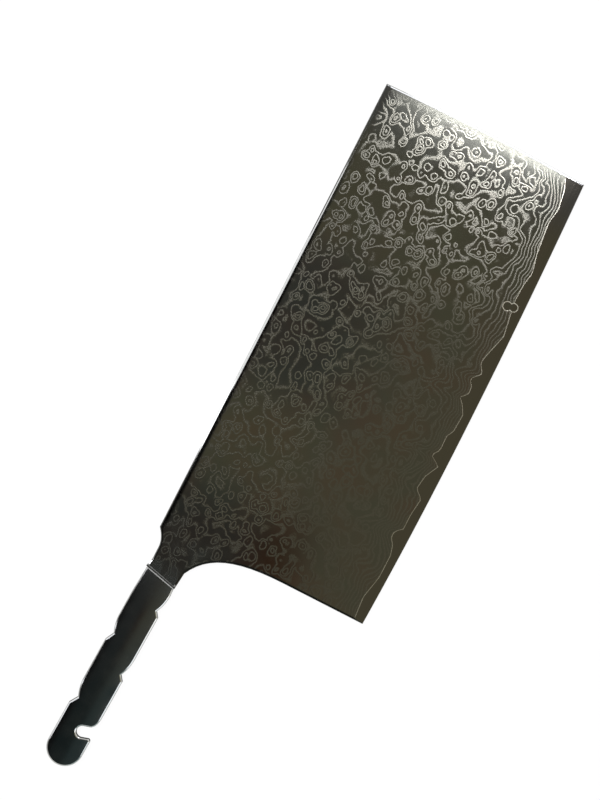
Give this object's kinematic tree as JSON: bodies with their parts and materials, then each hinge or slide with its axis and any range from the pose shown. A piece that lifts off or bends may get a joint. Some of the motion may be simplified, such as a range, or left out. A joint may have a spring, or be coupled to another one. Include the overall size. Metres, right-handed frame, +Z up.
{
  "type": "knife blade blank",
  "caption": "Tall square vegetable-knife blade of clad, pattern-welded steel with a bare hard core at the edge and a barbed, hooked stick tang welded to its neck.",
  "frame": {"origin": "middle of the blank's outline, at the level of its lowest point", "axes": "+X runs from the end of the tang to the tip, +Y from the cutting edge to the spine, +Z up out of the front face"},
  "size_m": [0.3124, 0.095, 0.0024],
  "materials": {
    "core_steel": "etched dark, then polished smooth",
    "clad_steel": "pattern-welded, polished and etched to bright lines and eyes on a dark ground",
    "weld_steel": "fused butt weld, dressed below the faces",
    "tang_steel": "stamped, tumbled and polished dark"
  },
  "bodies": {
    "root": {"cutting_core": "core_steel", "front_cladding": "clad_steel", "back_cladding": "clad_steel", "weld_seam": "weld_steel", "tang": "tang_steel"}
  },
  "joints": []
}
